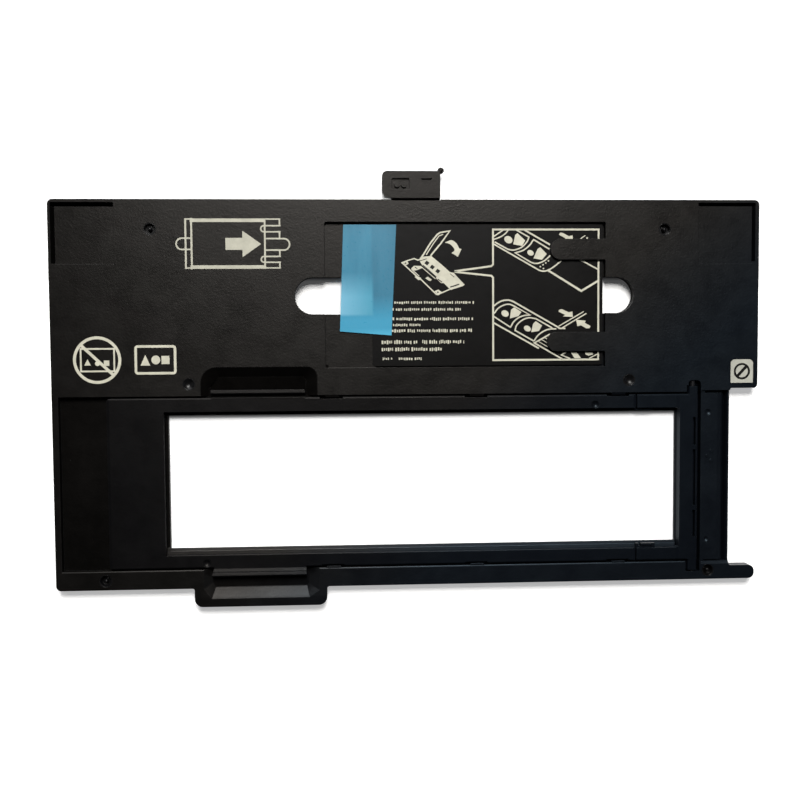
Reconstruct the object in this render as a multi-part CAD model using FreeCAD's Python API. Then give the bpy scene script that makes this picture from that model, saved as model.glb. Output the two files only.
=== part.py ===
import FreeCAD, Part
import os, math
from FreeCAD import Vector as V

# Medium-format film carrier for a flat-bed scanner: one flat moulded base with a
# film channel, a hinged frame cover, a flattening sheet stored in a recess, six
# press-in height feet, two hinge pins, a small pale label and a transit tape.
# Plan coordinates (u, v) are measured from the middle of the base plate; OX, OY
# move them so that the whole object's box is centred on the origin.  Z = 0 is the
# plane the feet stand on.  All lengths in millimetres.

OX, OY = -0.15, -2.725

# ---------------------------------------------------------------- heights
Z_BOTTOM = 1.0        # lower edge of skirts and channel floor (feet stand proud of it)
Z_POCKET = 2.9        # far edge of the far finger pocket's floor
Z_SCOOP = 3.0         # floor of the near finger pocket, before its ramp
Z_FILM = 3.0          # film plane: top of the channel floor
Z_STORE = 4.0         # floor of the sheet store
Z_SKIN = 4.2          # underside of the top skin
Z_TOP = 6.0           # top face of the base
Z_PANEL = 5.2         # end panel behind the hinge
COVER_Z0, COVER_Z1 = 3.1, 6.1
LIP_Z = 6.95          # crest of the cover's finger lips
SKIRT = 1.6           # wall thickness of the moulding

# ---------------------------------------------------------------- plan sizes
PL_X0, PL_X1 = -154.0, 154.3        # plate left and right
PL_Y1 = 83.9                        # plate far edge
RAIL_Y0 = -84.2                     # near edge of the near rail
LOW_X1 = 142.05                     # right edge of the channel part
STEP_Y = 1.2                        # near edge of the wide right end
TAB_X1, TAB_Y0, TAB_Y1 = 153.6, -84.2, -78.2   # rail tab
LOOP_X0, LOOP_X1, LOOP_Y = -94.8, -37.3, -92.4 # finger loop

CH_X0, CH_X1 = -151.3, 129.1        # film channel
CH_Y0, CH_Y1 = -76.0, -0.35
WIN_X0, WIN_X1, WIN_Y0, WIN_Y1 = -105.25, 118.3, -67.1, -9.1   # film gate

CV_X0, CV_SPLIT, CV_X1 = -131.0, 99.7, 127.3   # cover
CV_Y0, CV_Y1 = -75.2, -1.2
CW_X0, CW_X1, CW_Y0, CW_Y1 = -106.8, 119.3, -69.7, -7.2       # cover's window

LIP_X0, LIP_X1 = -86.4, -46.0                                 # finger lips on the cover

HINGE_X, HINGE_Z = 125.5, 4.4
PIN_R, PIN_CLEAR = 1.0, 0.05
EAR_R = 2.35
EAR_Y1, EAR_Y0 = 2.2, -80.0
PIN_FAR = (-4.5, 6.4)
PIN_NEAR = (-82.6, -72.5)

ST_X0, ST_X1, ST_Y0, ST_Y1 = -37.0, 85.75, 11.4, 74.3          # sheet store
SH_X0, SH_X1, SH_Y0, SH_Y1 = -16.5, 84.85, 12.0, 73.5          # flattening sheet
SH_T = 0.48
SLOT_X0, SLOT_X1, SLOT_Y0, SLOT_Y1 = -50.0, 98.5, 34.6, 50.5  # push-out slot
FINGERS = [(61.5, 58.0, 67.0), (60.0, 18.0, 26.4)]            # tip u, low v, high v
FINGER_Z0 = 4.7

FEET = [("foot_far_left", -111.2, 71.2, 2), ("foot_far_right", 112.0, 71.0, 2),
        ("foot_middle_left", -95.8, 4.8, 0), ("foot_middle_right", 96.5, 5.1, 0),
        ("foot_near_left", -132.8, -80.2, 1), ("foot_near_right", 132.6, -80.2, 1)]
FOOT_PEG_R, FOOT_PAD_R, FOOT_BOSS_R = 2.7, 3.4, 3.9

NUBS = [(-37.2, -31.2), (26.0, 32.0), (89.0, 95.0)]           # closing nubs, u ranges
NUB_OUT = 1.0


# ---------------------------------------------------------------- helpers
def box(x0, y0, z0, x1, y1, z1):
    return Part.makeBox(x1 - x0, y1 - y0, z1 - z0, V(x0, y0, z0))


def poly(points, z0, z1):
    """Prism on a closed outline; each point is (u, v) or (u, v, corner radius)."""
    n = len(points)
    segs = []
    corners = []
    for i in range(n):
        p = points[i]
        a = V(points[i - 1][0], points[i - 1][1], z0)
        b = V(p[0], p[1], z0)
        c = V(points[(i + 1) % n][0], points[(i + 1) % n][1], z0)
        r = p[2] if len(p) > 2 else 0
        if r <= 0:
            corners.append((b, b, None))
            continue
        d1 = (a - b).normalize()
        d2 = (c - b).normalize()
        ang = math.acos(max(-1.0, min(1.0, d1.dot(d2))))
        t = r / math.tan(ang / 2)
        s = b + d1 * t
        e = b + d2 * t
        bis = (d1 + d2).normalize()
        mid = b + bis * (r / math.sin(ang / 2) - r)
        corners.append((s, e, mid))
    for i in range(n):
        s, e, mid = corners[i]
        if mid is not None:
            segs.append(Part.Arc(s, mid, e).toShape())
        nxt = corners[(i + 1) % n][0]
        if (nxt - e).Length > 1e-6:
            segs.append(Part.LineSegment(e, nxt).toShape())
    w = Part.Wire(Part.__sortEdges__(segs))
    return Part.Face(w).extrude(V(0, 0, z1 - z0))


def rbox(x0, y0, z0, x1, y1, z1, r):
    return poly([(x0, y0, r), (x1, y0, r), (x1, y1, r), (x0, y1, r)], z0, z1)


def cyl(x, y, z0, z1, r):
    return Part.makeCylinder(r, z1 - z0, V(x, y, z0), V(0, 0, 1))


def cyly(x, z, y0, y1, r):
    return Part.makeCylinder(r, y1 - y0, V(x, y0, z), V(0, 1, 0))


def prism_xz(pts, y0, y1):
    vs = [V(p[0], y0, p[1]) for p in pts]
    w = Part.makePolygon(vs + [vs[0]])
    return Part.Face(w).extrude(V(0, y1 - y0, 0))


def prism_yz(pts, x0, x1):
    vs = [V(x0, p[0], p[1]) for p in pts]
    w = Part.makePolygon(vs + [vs[0]])
    return Part.Face(w).extrude(V(x1 - x0, 0, 0))


def fuse(a, *more):
    more = [m for m in more if m is not None]
    return a.multiFuse(more).removeSplitter()


def cut(a, *tools):
    tools = list(tools)
    t = tools[0] if len(tools) == 1 else tools[0].multiFuse(tools[1:])
    return a.cut(t)


def frustum_window(x0, y0, x1, y1, z0, z1, grow):
    """Rectangular funnel, wider at z1 by grow = (left, right, near, far)."""
    gl, gr, gn, gf = grow
    w0 = Part.makePolygon([V(x0, y0, z0), V(x1, y0, z0), V(x1, y1, z0), V(x0, y1, z0), V(x0, y0, z0)])
    w1 = Part.makePolygon([V(x0 - gl, y0 - gn, z1), V(x1 + gr, y0 - gn, z1),
                           V(x1 + gr, y1 + gf, z1), V(x0 - gl, y1 + gf, z1), V(x0 - gl, y0 - gn, z1)])
    return Part.makeLoft([w0, w1], True, True)


def outline_wire(points, z):
    f = poly(points, z, z + 1.0)
    for face in f.Faces:
        bb = face.BoundBox
        if abs(bb.ZMin - z) < 1e-6 and abs(bb.ZMax - z) < 1e-6:
            return face.OuterWire
    raise ValueError("no outline")


def funnel(low, high, z0, z1):
    """Splayed cutter between two outlines."""
    return Part.makeLoft([outline_wire(low, z0), outline_wire(high, z1)], True, True)


EPS = 0.01
HI = 9.0
LO = -1.0

# ================================================================ base frame
outline = [(PL_X0, RAIL_Y0, 2.2), (LOOP_X0, RAIL_Y0, 0.9), (LOOP_X0, LOOP_Y, 3.6),
           (LOOP_X1, LOOP_Y, 3.6), (LOOP_X1, RAIL_Y0, 1.2), (TAB_X1, TAB_Y0, 2.6),
           (TAB_X1, TAB_Y1, 2.6), (LOW_X1, TAB_Y1, 1.0), (LOW_X1, STEP_Y, 0.6),
           (PL_X1, STEP_Y, 1.8), (PL_X1, PL_Y1, 2.2), (PL_X0, PL_Y1, 2.2)]
base = poly(outline, Z_BOTTOM, Z_TOP)

# the plate is a shell: hollow it from below, leaving the skirt, then put back
# the bosses, pocket walls and ribs
hollow = poly([(PL_X0 + SKIRT, 0.8 + SKIRT, 1.5), (LOW_X1 + 1.0, 0.8 + SKIRT + 1.4, 0.5),
               (PL_X1 - SKIRT, STEP_Y + SKIRT + 0.4, 1.0), (PL_X1 - SKIRT, PL_Y1 - SKIRT, 1.2),
               (PL_X0 + SKIRT, PL_Y1 - SKIRT, 1.2)], LO, Z_SKIN)
base = cut(base, hollow)

adds = []
# finger pocket box on the far side
adds.append(rbox(-90.9 - SKIRT, -0.2, Z_BOTTOM, -40.5 + SKIRT, 12.1 + SKIRT, Z_SKIN + EPS, 3.0))
# sheet store tray
adds.append(box(ST_X0 - 1.4, ST_Y0 - 1.4, Z_STORE - 1.4, ST_X1 + 1.4, ST_Y1 + 1.4, Z_SKIN + EPS))
# rim under the push-out slot
sr = (SLOT_Y1 - SLOT_Y0) / 2
adds.append(rbox(SLOT_X0 - 1.5, SLOT_Y0 - 1.5, Z_BOTTOM, SLOT_X1 + 1.5, SLOT_Y1 + 1.5, Z_SKIN + EPS, sr + 1.45))
# corner groove backing
adds.append(box(PL_X0 + 0.8, 79.6, 1.4, -125.2, PL_Y1 - 0.8, Z_SKIN + EPS))
adds.append(box(PL_X0 + 0.8, 55.4, 1.4, -149.8, PL_Y1 - 0.8, Z_SKIN + EPS))
adds.append(box(125.9, 79.6, 1.4, PL_X1 - 0.8, PL_Y1 - 0.8, Z_SKIN + EPS))
adds.append(box(149.9, 55.9, 1.4, PL_X1 - 0.8, PL_Y1 - 0.8, Z_SKIN + EPS))
# hinge block on the far side
adds.append(box(120.2, -0.9, Z_BOTTOM, 131.4, 8.4, Z_SKIN + EPS))
# foot bosses
for n_, fx, fy, k in FEET:
    if fy > 0:
        adds.append(cyl(fx, fy, Z_BOTTOM, Z_SKIN + EPS, FOOT_BOSS_R))
# ribs
RIB = 1.1
for rx in (-126.0, -103.5, -80.5, -58.0, 103.5, 120.2, 137.0):
    adds.append(box(rx - RIB / 2, 14.2, 2.0, rx + RIB / 2, 82.4, Z_SKIN + EPS))
for ry in (26.0, 60.0):
    adds.append(box(-152.6, ry - RIB / 2, 2.0, -42.5, ry + RIB / 2, Z_SKIN + EPS))
    adds.append(box(86.5, ry - RIB / 2, 2.0, 152.9, ry + RIB / 2, Z_SKIN + EPS))
base = fuse(base, *adds)

# locating tab on the far edge, with its corner nib
tab = poly([(-8.0, 82.6), (13.3, 82.6), (13.3, 96.1, 0.4), (-11.9, 96.1, 2.2),
            (-11.9, 87.3, 0.8), (-11.0, 85.3, 0.4), (-8.0, 84.7)], 2.0, Z_TOP)
tab = cut(tab, rbox(-9.6, 85.6, LO, 11.4, 94.0, 4.2, 0.8))
nib = Part.makeSphere(1.45, V(13.6, 96.4, 4.5))
neck = cyl(12.95, 95.8, 3.7, 5.4, 0.6)
base = fuse(base, tab, neck, nib)

cuts = []
# groove between plate and tab
cuts.append(box(-8.2, 83.4, 3.6, 13.4, 84.5, HI))
# tab marks: a sunk panel with two pips left standing, and a sunk arrowhead
panel = rbox(-7.7, 88.3, 4.95, -0.1, 93.0, HI, 0.35)
panel = panel.cut(cyl(-5.4, 90.3, 4.9, 5.95, 1.25)).cut(cyl(-2.4, 90.3, 4.9, 5.95, 1.25))
cuts.append(panel)
cuts.append(poly([(5.0, 92.9), (7.4, 89.2), (9.8, 92.9)], 4.95, HI))

# corner grooves and slightly sunk pads
GZ = 2.6
cuts.append(rbox(-152.9, 80.6, GZ, -126.3, 82.55, HI, 0.5))
cuts.append(prism_xz([(-152.95, HI), (-152.95, Z_TOP), (-152.0, GZ), (-151.9, GZ), (-150.9, Z_TOP), (-150.9, HI)], 56.5, 82.3))
cuts.append(box(-150.9, 56.3, 5.8, -126.4, 80.8, HI))
cuts.append(rbox(127.0, 81.1, GZ, 152.7, 82.65, HI, 0.5))
cuts.append(prism_xz([(151.0, HI), (151.0, Z_TOP), (151.7, GZ), (151.85, GZ), (152.7, Z_TOP), (152.7, HI)], 57.0, 82.3))
cuts.append(box(127.0, 56.0, 5.8, 151.1, 81.4, HI))

# sheet store
cuts.append(poly([(ST_X0, ST_Y0, 1.0), (ST_X1, ST_Y0, 0.3), (ST_X1, ST_Y1, 0.3), (ST_X0, ST_Y1, 1.0)], Z_STORE, HI))
# run-off gutter round three sides of the sheet
cuts.append(cut(box(ST_X0 + 22.0, ST_Y0, 3.1, ST_X1, ST_Y1, HI), box(ST_X0 + 21.0, SH_Y0 + 0.05, LO, SH_X1 - 0.05, SH_Y1 - 0.05, 12)))
# push-out slot, right through
cuts.append(rbox(SLOT_X0, SLOT_Y0, LO, SLOT_X1, SLOT_Y1, HI, sr - 0.01))
# mould shut-off windows under the two fingers
for tip, v0, v1 in FINGERS:
    cuts.append(rbox(tip - 1.0, v0 - 0.6, LO, ST_X1 - 0.6, v1 + 0.6, Z_STORE + EPS, 1.0))

# label seat
cuts.append(poly([(142.05, 3.3, 0.3), (152.5, 3.3, 0.3), (152.5, 14.1, 2.0), (142.05, 14.1, 2.0)], 5.7, HI))

# far finger pocket: splayed walls down to a smaller floor
cuts.append(funnel([(-87.8, CH_Y1 - 1.0), (-45.2, CH_Y1 - 1.0), (-45.5, 6.2), (-46.8, 7.8), (-83.4, 7.8), (-87.6, 2.9)],
                   [(-90.9, CH_Y1 - 1.0), (-40.5, CH_Y1 - 1.0), (-40.5, 12.1, 4.6), (-90.9, 12.1, 6.6)], Z_POCKET, Z_TOP))
cuts.append(prism_yz([(7.4, Z_POCKET + EPS), (CH_Y1 - 1.0, 1.75), (CH_Y1 - 1.0, Z_POCKET + EPS)], -87.0, -45.9))
# near finger pocket: flat under the lip, then a ramp up to the loop's bar
cuts.append(funnel([(-87.2, CH_Y0 + 1.0), (-86.9, -82.2), (-85.9, -84.2), (-46.2, -84.2), (-45.6, -83.2), (-45.1, CH_Y0 + 1.0)],
                   [(-90.8, CH_Y0 + 1.0), (-90.8, -84.4), (-87.4, -88.8), (-44.9, -88.8), (-40.6, -85.8), (-40.5, CH_Y0 + 1.0)],
                   Z_SCOOP, Z_TOP))

# film channel
cuts.append(box(CH_X0, CH_Y0, Z_FILM, CH_X1, CH_Y1, HI))
# trough that clears the cover's turning end
cuts.append(box(HINGE_X - 2.9, CH_Y0, 1.9, CH_X1, CH_Y1, HI))
# end panel level and the steep valley along its outer edge
cuts.append(box(CH_X1 - EPS, CH_Y0 - 0.2, Z_PANEL, LOW_X1 + 1.0, 0.3, HI))
cuts.append(prism_xz([(136.6, Z_PANEL + EPS), (138.2, 4.85), (139.1, 4.2), (140.5, 2.3), (141.35, 4.75), (LOW_X1 + 2, 4.75),
                      (LOW_X1 + 2, Z_PANEL + EPS)], CH_Y0 - 0.2, 0.3))
# grooves along the end panel's two short sides
cuts.append(box(130.9, -0.95, 3.8, 140.4, 0.3, HI))
cuts.append(box(130.6, CH_Y0 - 0.2, 3.8, 140.4, CH_Y0 + 0.45, HI))
# broken inner edge of the near rail
cuts.append(prism_yz([(CH_Y0 + 0.01, Z_TOP + EPS), (CH_Y0 - 0.4, Z_TOP + EPS), (CH_Y0 + 0.01, Z_TOP - 0.25)], CH_X0, 122.0))
cuts.append(prism_yz([(CH_Y0, Z_TOP + EPS), (CH_Y0 - 1.35, Z_TOP + EPS), (CH_Y0 - 0.3, Z_PANEL - 0.1), (CH_Y0, Z_PANEL - 0.1)],
                     129.4, LOW_X1 + 1.0))
# core under the end panel
cuts.append(box(130.6, CH_Y0 + 0.6, LO, 137.6, -1.8, 3.6))
# light-trap groove along the gate's left end
cuts.append(box(-106.75, WIN_Y0 + 0.3, 1.7, -105.75, WIN_Y1 - 0.3, HI))
# film gate: straight wall below, bevelled above
cuts.append(box(WIN_X0, WIN_Y0, LO, WIN_X1, WIN_Y1, HI))
cuts.append(frustum_window(WIN_X0, WIN_Y0, WIN_X1, WIN_Y1, 2.0, Z_FILM + 0.001, (0.15, 0.5, 1.1, 0.35)))

# hinge pockets and pin bores
for (ya, yb) in ((CH_Y1 - 0.5, 2.5), (-80.6, CH_Y0 + 0.5)):
    cuts.append(box(HINGE_X - 3.0, ya, 1.7, HINGE_X + 3.3, yb, HI))
cuts.append(poly([(HINGE_X - 2.3, 2.3), (HINGE_X + 3.2, 2.3), (HINGE_X + 3.2, 4.8, 1.6), (HINGE_X - 2.3, 4.8, 1.6)],
                 3.0, HI))
cuts.append(cyly(HINGE_X, HINGE_Z, 0.0, 6.6, PIN_R + PIN_CLEAR))
cuts.append(cyly(HINGE_X, HINGE_Z, -82.8, -76.0, PIN_R + PIN_CLEAR))

# cores along the near rail
for a, b in ((-148.0, -138.0), (-127.6, -96.5), (-35.0, 118.5), (138.5, 151.2)):
    y1 = -78.2 if a < 130 else -80.2
    cuts.append(rbox(a, -82.2, LO, b, y1, 4.2, 0.5))
# core under the ramp and the loop's bar
cuts.append(prism_yz([(-85.6, LO), (-90.8, LO), (-90.8, 3.4), (-88.6, 3.4), (-85.6, 1.2)], -86.0, -46.0))
base = cut(base, *cuts)

# the two hold-down fingers over the sheet
for tip, v0, v1 in FINGERS:
    r = (v1 - v0) / 2
    f = poly([(tip, v0, r - 0.05), (ST_X1 + 0.6, v0), (ST_X1 + 0.6, v1), (tip, v1, r - 0.05)], FINGER_Z0, Z_TOP)
    base = base.fuse(f)

# closing nubs on both channel walls
for a, b in NUBS:
    far = prism_yz([(CH_Y1 + 0.2, Z_TOP - 0.15), (CH_Y1 - NUB_OUT, Z_TOP - 0.6), (CH_Y1 - NUB_OUT, 5.0),
                    (CH_Y1 + 0.2, 4.2)], a, b)
    near = prism_yz([(CH_Y0 - 0.45, Z_TOP - 0.1), (CH_Y0 + NUB_OUT - 0.35, Z_TOP - 0.1), (CH_Y0 + NUB_OUT - 0.2, Z_TOP - 0.3),
                     (CH_Y0 + NUB_OUT - 0.2, 5.0), (CH_Y0 - 0.2, 4.2)], a, b)
    base = base.fuse(far)
    base = base.fuse(near)

# moulded marks on the end panel
for mx, my in ((133.9, -26.9), (131.9, -28.9), (133.9, -31.1)):
    base = base.fuse(cyl(mx, my, Z_PANEL - 0.2, Z_PANEL + 0.25, 0.7))
dim1 = Part.makeSphere(2.0, V(132.3, -9.4, Z_PANEL + 1.45))
dim2 = Part.makeSphere(1.7, V(131.7, -66.3, Z_PANEL + 1.2))
base = base.cut(dim1).cut(dim2)

# foot sockets
for n_, fx, fy, k in FEET:
    base = base.cut(cyl(fx, fy, LO, HI, FOOT_PEG_R))
base = base.removeSplitter()

# small break on the plate's outer top edges
def top_edges(shape, z, pred):
    out = []
    for e in shape.Edges:
        bb = e.BoundBox
        if abs(bb.ZMin - z) < 1e-4 and abs(bb.ZMax - z) < 1e-4 and pred(bb):
            out.append(e)
    return out


def outer(bb):
    cx, cy = (bb.XMin + bb.XMax) / 2, (bb.YMin + bb.YMax) / 2
    on_left = bb.XMax < PL_X0 + 0.01
    on_right = bb.XMin > PL_X1 - 0.01
    on_far = bb.YMin > PL_Y1 - 0.01 and bb.YMax < PL_Y1 + 0.01
    on_loop = bb.YMax < LOOP_Y + 0.01
    on_near = bb.YMax < RAIL_Y0 + 0.01 and bb.YMin > RAIL_Y0 - 0.01
    return on_left or on_right or on_far or on_loop or on_near


try:
    ee = top_edges(base, Z_TOP, outer)
    b2 = base.makeFillet(0.3, ee)
    if b2.isValid() and abs(b2.Volume - base.Volume) < 400:
        base = b2
except Exception as exc:
    print("edge break skipped", exc)

# ================================================================ feet
feet = {}
for n_, fx, fy, k in FEET:
    pad = Part.makeCone(FOOT_PAD_R - 0.5, FOOT_PAD_R, 0.5, V(fx, fy, 0))
    pad = pad.fuse(cyl(fx, fy, 0.5, Z_BOTTOM, FOOT_PAD_R))
    peg = cyl(fx, fy, Z_BOTTOM - EPS, Z_TOP - 0.1, FOOT_PEG_R)
    f = pad.fuse(peg)
    # heads: the middle pair are dished, the near pair hollow with a pip left in the
    # middle, the far pair a shallow cup round a low stud
    if k == 2:
        f = f.cut(Part.makeCone(2.1, 2.35, 2.0, V(fx, fy, Z_TOP - 2.05)))
        f = f.fuse(Part.makeCone(1.0, 0.8, 1.2, V(fx, fy, Z_TOP - 2.06)).fuse(Part.makeSphere(0.86, V(fx, fy, Z_TOP - 1.0))))
    elif k == 1:
        f = f.cut(cyl(fx, fy, 3.6, HI, 1.95)).cut(Part.makeCone(1.95, 2.45, 1.0, V(fx, fy, Z_TOP - 1.05)))
        pip = Part.makeCone(1.0, 0.8, 1.4, V(fx, fy, 3.5)).fuse(Part.makeSphere(0.86, V(fx, fy, 4.75)))
        f = f.fuse(pip)
    else:
        f = f.cut(Part.makeSphere(3.1, V(fx, fy, Z_TOP - 0.1 + 2.0)))
    f = f.cut(cyl(fx, fy, LO, 0.3, 1.4))
    feet[n_] = f.removeSplitter()

# ================================================================ film cover, main frame
cover = poly([(CV_X0, CV_Y0, 1.4), (CV_SPLIT, CV_Y0), (CV_SPLIT, CV_Y1), (CV_X0, CV_Y1, 1.4)], COVER_Z0, COVER_Z1)
cover = cut(cover, box(CW_X0, CW_Y0, LO, CV_SPLIT + 1, CW_Y1, HI))
# bevel on the long top edges and the left end
cover = cut(cover,
            prism_yz([(CV_Y1 - 0.5, COVER_Z1 + EPS), (CV_Y1 + 0.1, COVER_Z1 + EPS), (CV_Y1 + 0.1, COVER_Z1 - 0.4)], CV_X0 - 1, LIP_X0),
            prism_yz([(CV_Y1 - 0.5, COVER_Z1 + EPS), (CV_Y1 + 0.1, COVER_Z1 + EPS), (CV_Y1 + 0.1, COVER_Z1 - 0.4)], LIP_X1, CV_SPLIT + 1),
            prism_yz([(CV_Y0 + 0.5, COVER_Z1 + EPS), (CV_Y0 - 0.1, COVER_Z1 + EPS), (CV_Y0 - 0.1, COVER_Z1 - 0.4)], CV_X0 - 1, CV_SPLIT + 1),
            prism_xz([(CV_X0 + 1.2, COVER_Z1 + EPS), (CV_X0 - 0.1, COVER_Z1 + EPS), (CV_X0 - 0.1, COVER_Z1 - 0.25)], CV_Y0 - 1, CV_Y1 + 1),
            prism_xz([(CV_SPLIT - 1.2, COVER_Z1 + EPS), (CV_SPLIT + 0.1, COVER_Z1 + EPS), (CV_SPLIT + 0.1, COVER_Z1 - 0.45)], CV_Y0 - 1, CV_Y1 + 1))
# hollow underside: end panel and both rails
hol = [box(CV_X0 + 1.6, CV_Y0 + 1.6, LO, -120.2, CV_Y1 - 1.6, 4.6),
       box(-119.0, CV_Y0 + 1.6, LO, CW_X0 - 1.6, CV_Y1 - 1.6, 4.6)]
for a, b in ((-105.0, -45.0), (-43.8, 24.0), (34.2, 87.5)):
    hol.append(box(a, -5.9, LO, b, -3.0, 4.6))
    hol.append(box(a, -73.4, LO, b, -71.4, 4.6))
cover = cut(cover, *hol)
# notches that clear the closing nubs
for a, b in NUBS:
    cover = cover.cut(rbox(a - 2.4, CV_Y1 - 0.75, LO, b + 1.6, CV_Y1 + 1, HI, 0.3))
    cover = cover.cut(rbox(a - 2.4, CV_Y0 - 1, LO, b + 1.6, CV_Y0 + 0.75, HI, 0.3))
# finger lips on both long sides: the far one stands off behind a valley, the near
# one rises straight from the rail in two steps
far_lip = prism_yz([(CV_Y1 - 0.9, 3.6), (0.4, 3.6), (2.3, 4.9), (2.3, LIP_Z - 0.4), (2.15, LIP_Z - 0.12), (1.0, LIP_Z),
                    (0.8, LIP_Z), (0.45, LIP_Z - 0.4), (0.3, 4.3), (CV_Y1 - 0.9, 4.3)], LIP_X0, LIP_X1)
far_lip = far_lip.common(poly([(LIP_X0, -3.0), (LIP_X1, -3.0), (LIP_X1, 2.4, 0.9), (LIP_X0, 2.4, 0.3)], 0, HI))
near_lip = prism_yz([(CV_Y0 + 0.9, 3.8), (-77.4, 3.8), (-79.6, 4.7), (-79.6, 5.2), (-78.75, 5.35), (-78.75, LIP_Z - 0.1),
                     (-78.6, LIP_Z), (-78.4, LIP_Z), (-77.35, LIP_Z - 0.25), (-77.15, LIP_Z - 0.7), (-76.95, LIP_Z - 0.5),
                     (CV_Y0 - 0.4, COVER_Z1), (CV_Y0 + 0.9, COVER_Z1)], LIP_X0 - 0.8, LIP_X1 - 0.2)
near_lip = near_lip.common(poly([(LIP_X0 + 0.1, -74.0), (LIP_X1, -74.0), (LIP_X1, -80.0), (LIP_X0 - 0.8, -80.0),
                                 (LIP_X0 - 0.8, -78.6), (LIP_X0 + 0.1, -75.5)], 0, HI))
cover = cover.fuse(far_lip).fuse(near_lip)
# tongues that run under the hinge frame, with a hook head on each
for (ya, yb, hy0, hy1, hz) in ((CV_Y0 + 0.3, CW_Y0 - 0.4, CW_Y0 - 0.5, CW_Y0 + 0.75, 4.9),
                               (CW_Y1 + 0.4, CV_Y1 - 0.3, CW_Y1 - 0.45, CW_Y1 + 0.5, 4.4)):
    cover = cover.fuse(box(CV_SPLIT - EPS, ya, COVER_Z0, 108.2, yb, 4.4))
    cover = cover.fuse(box(102.6, hy0, COVER_Z0, 107.2, hy1, hz))
# small dimples in the rails
for dx, dy in ((-89.2, -73.2), (81.4, -5.6)):
    cover = cover.cut(Part.makeSphere(2.2, V(dx, dy, COVER_Z1 + 1.3)))
cover = cover.removeSplitter()

# ================================================================ film cover, hinge frame
HF_X0 = CV_SPLIT + 0.5
hf = box(HF_X0, CV_Y0, COVER_Z0, CV_X1, CV_Y1, COVER_Z1)
# the window's right end slopes down towards the gate
hf = cut(hf, rbox(HF_X0 - 6, CW_Y0, LO, CW_X1 - 0.85, CW_Y1, HI, 0.8),
         prism_xz([(CW_X1 - 2.0, COVER_Z1 + 1), (CW_X1 + 0.1, COVER_Z1 + 1), (CW_X1 + 0.1, COVER_Z1),
                   (CW_X1 - 0.85, COVER_Z0 + 0.2), (CW_X1 - 2.0, COVER_Z0 + 0.2)], CW_Y0 + 0.35, CW_Y1 - 0.35))
hf = cut(hf,
         prism_yz([(CV_Y1 - 0.5, COVER_Z1 + EPS), (CV_Y1 + 0.1, COVER_Z1 + EPS), (CV_Y1 + 0.1, COVER_Z1 - 0.4)], HF_X0 - 1, HINGE_X - 2.5),
         prism_yz([(CV_Y0 + 0.5, COVER_Z1 + EPS), (CV_Y0 - 0.1, COVER_Z1 + EPS), (CV_Y0 - 0.1, COVER_Z1 - 0.4)], HF_X0 - 1, HINGE_X - 2.5))
# inboard ears beside the joint
hf = hf.fuse(box(HF_X0, CW_Y0 - 0.2, COVER_Z0, 108.6, -67.7, 5.3))
hf = hf.fuse(poly([(HF_X0, CW_Y1 + 0.2), (HF_X0, -8.45, 0.4), (107.0, -8.45, 1.4), (109.4, CW_Y1 + 0.2)], COVER_Z0, 4.5))
# room for the tongues and hook heads
hf = cut(hf,
         box(HF_X0 - 1, CV_Y0 + 0.15, LO, 108.4, CW_Y0 - 0.25, 4.5),
         box(HF_X0 - 1, CW_Y1 + 0.25, LO, 108.4, CV_Y1 - 0.15, 4.5),
         box(102.4, CW_Y0 - 0.7, LO, 107.4, CW_Y0 + 0.9, 5.31),
         box(101.3, -68.95, LO, 102.41, -67.6, 5.31),
         box(101.6, CW_Y1 - 0.6, LO, 107.4, CW_Y1 + 0.7, 4.51),
         box(101.6, CW_Y1 + 0.0, LO, 107.4, CW_Y1 + 0.7, 5.31))
# three long slots over the hinge line
for a, b in ((-23.9, -11.6), (-51.0, -25.9), (-64.9, -53.0)):
    hf = cut(hf, box(125.3, a, 4.0, 126.5, b, HI))
# rounded turning edge: everything right of the axis stays inside its radius
keep = cyly(HINGE_X, HINGE_Z, CV_Y0 - 1, CV_Y1 + 1, 2.3).fuse(box(HF_X0 - 1, CV_Y0 - 1, 0, HINGE_X, CV_Y1 + 1, HI))
hf = hf.common(keep)
# ears that reach into the base's pockets
ear_far = cyly(HINGE_X, HINGE_Z, CV_Y1 - 0.5, EAR_Y1, EAR_R).common(box(118, -90, 0, 132, 10, COVER_Z1))
ear_near = cyly(HINGE_X, HINGE_Z, EAR_Y0, CV_Y0 + 0.5, EAR_R).common(box(118, -90, 0, 132, 10, COVER_Z1))
hf = hf.fuse(ear_far).fuse(ear_near)
hf = cut(hf, cyly(HINGE_X, HINGE_Z, PIN_FAR[0], 10, PIN_R), cyly(HINGE_X, HINGE_Z, -90, PIN_NEAR[1], PIN_R))
hf = hf.removeSplitter()

# ================================================================ hinge pins
def pin(y0, y1, dome_at_high):
    p = cyly(HINGE_X, HINGE_Z, y0, y1, PIN_R)
    c = 0.3
    ring = [e for e in p.Edges if e.Length > 1 and abs(e.BoundBox.YMax - e.BoundBox.YMin) < 1e-6]
    return p.makeChamfer(c, ring)


pin_far = pin(PIN_FAR[0], PIN_FAR[1], True)
pin_near = pin(PIN_NEAR[0], PIN_NEAR[1], False)

# ================================================================ flattening sheet
sheet = rbox(SH_X0, SH_Y0, Z_STORE + 0.02, SH_X1, SH_Y1, Z_STORE + 0.02 + SH_T, 1.5)

# ================================================================ transit tape
TAPE_Z = Z_STORE + 0.02 + SH_T + 0.07
tape = poly([(-30.6, 27.2), (-8.2, 25.4), (-5.9, 73.3), (-28.8, 73.3)], TAPE_Z, TAPE_Z + 0.08)

# ================================================================ small label
label = poly([(142.2, 3.5, 0.25), (152.3, 3.5, 0.25), (152.3, 13.9, 1.9), (142.2, 13.9, 1.9)], 5.7, 5.85)

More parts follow.
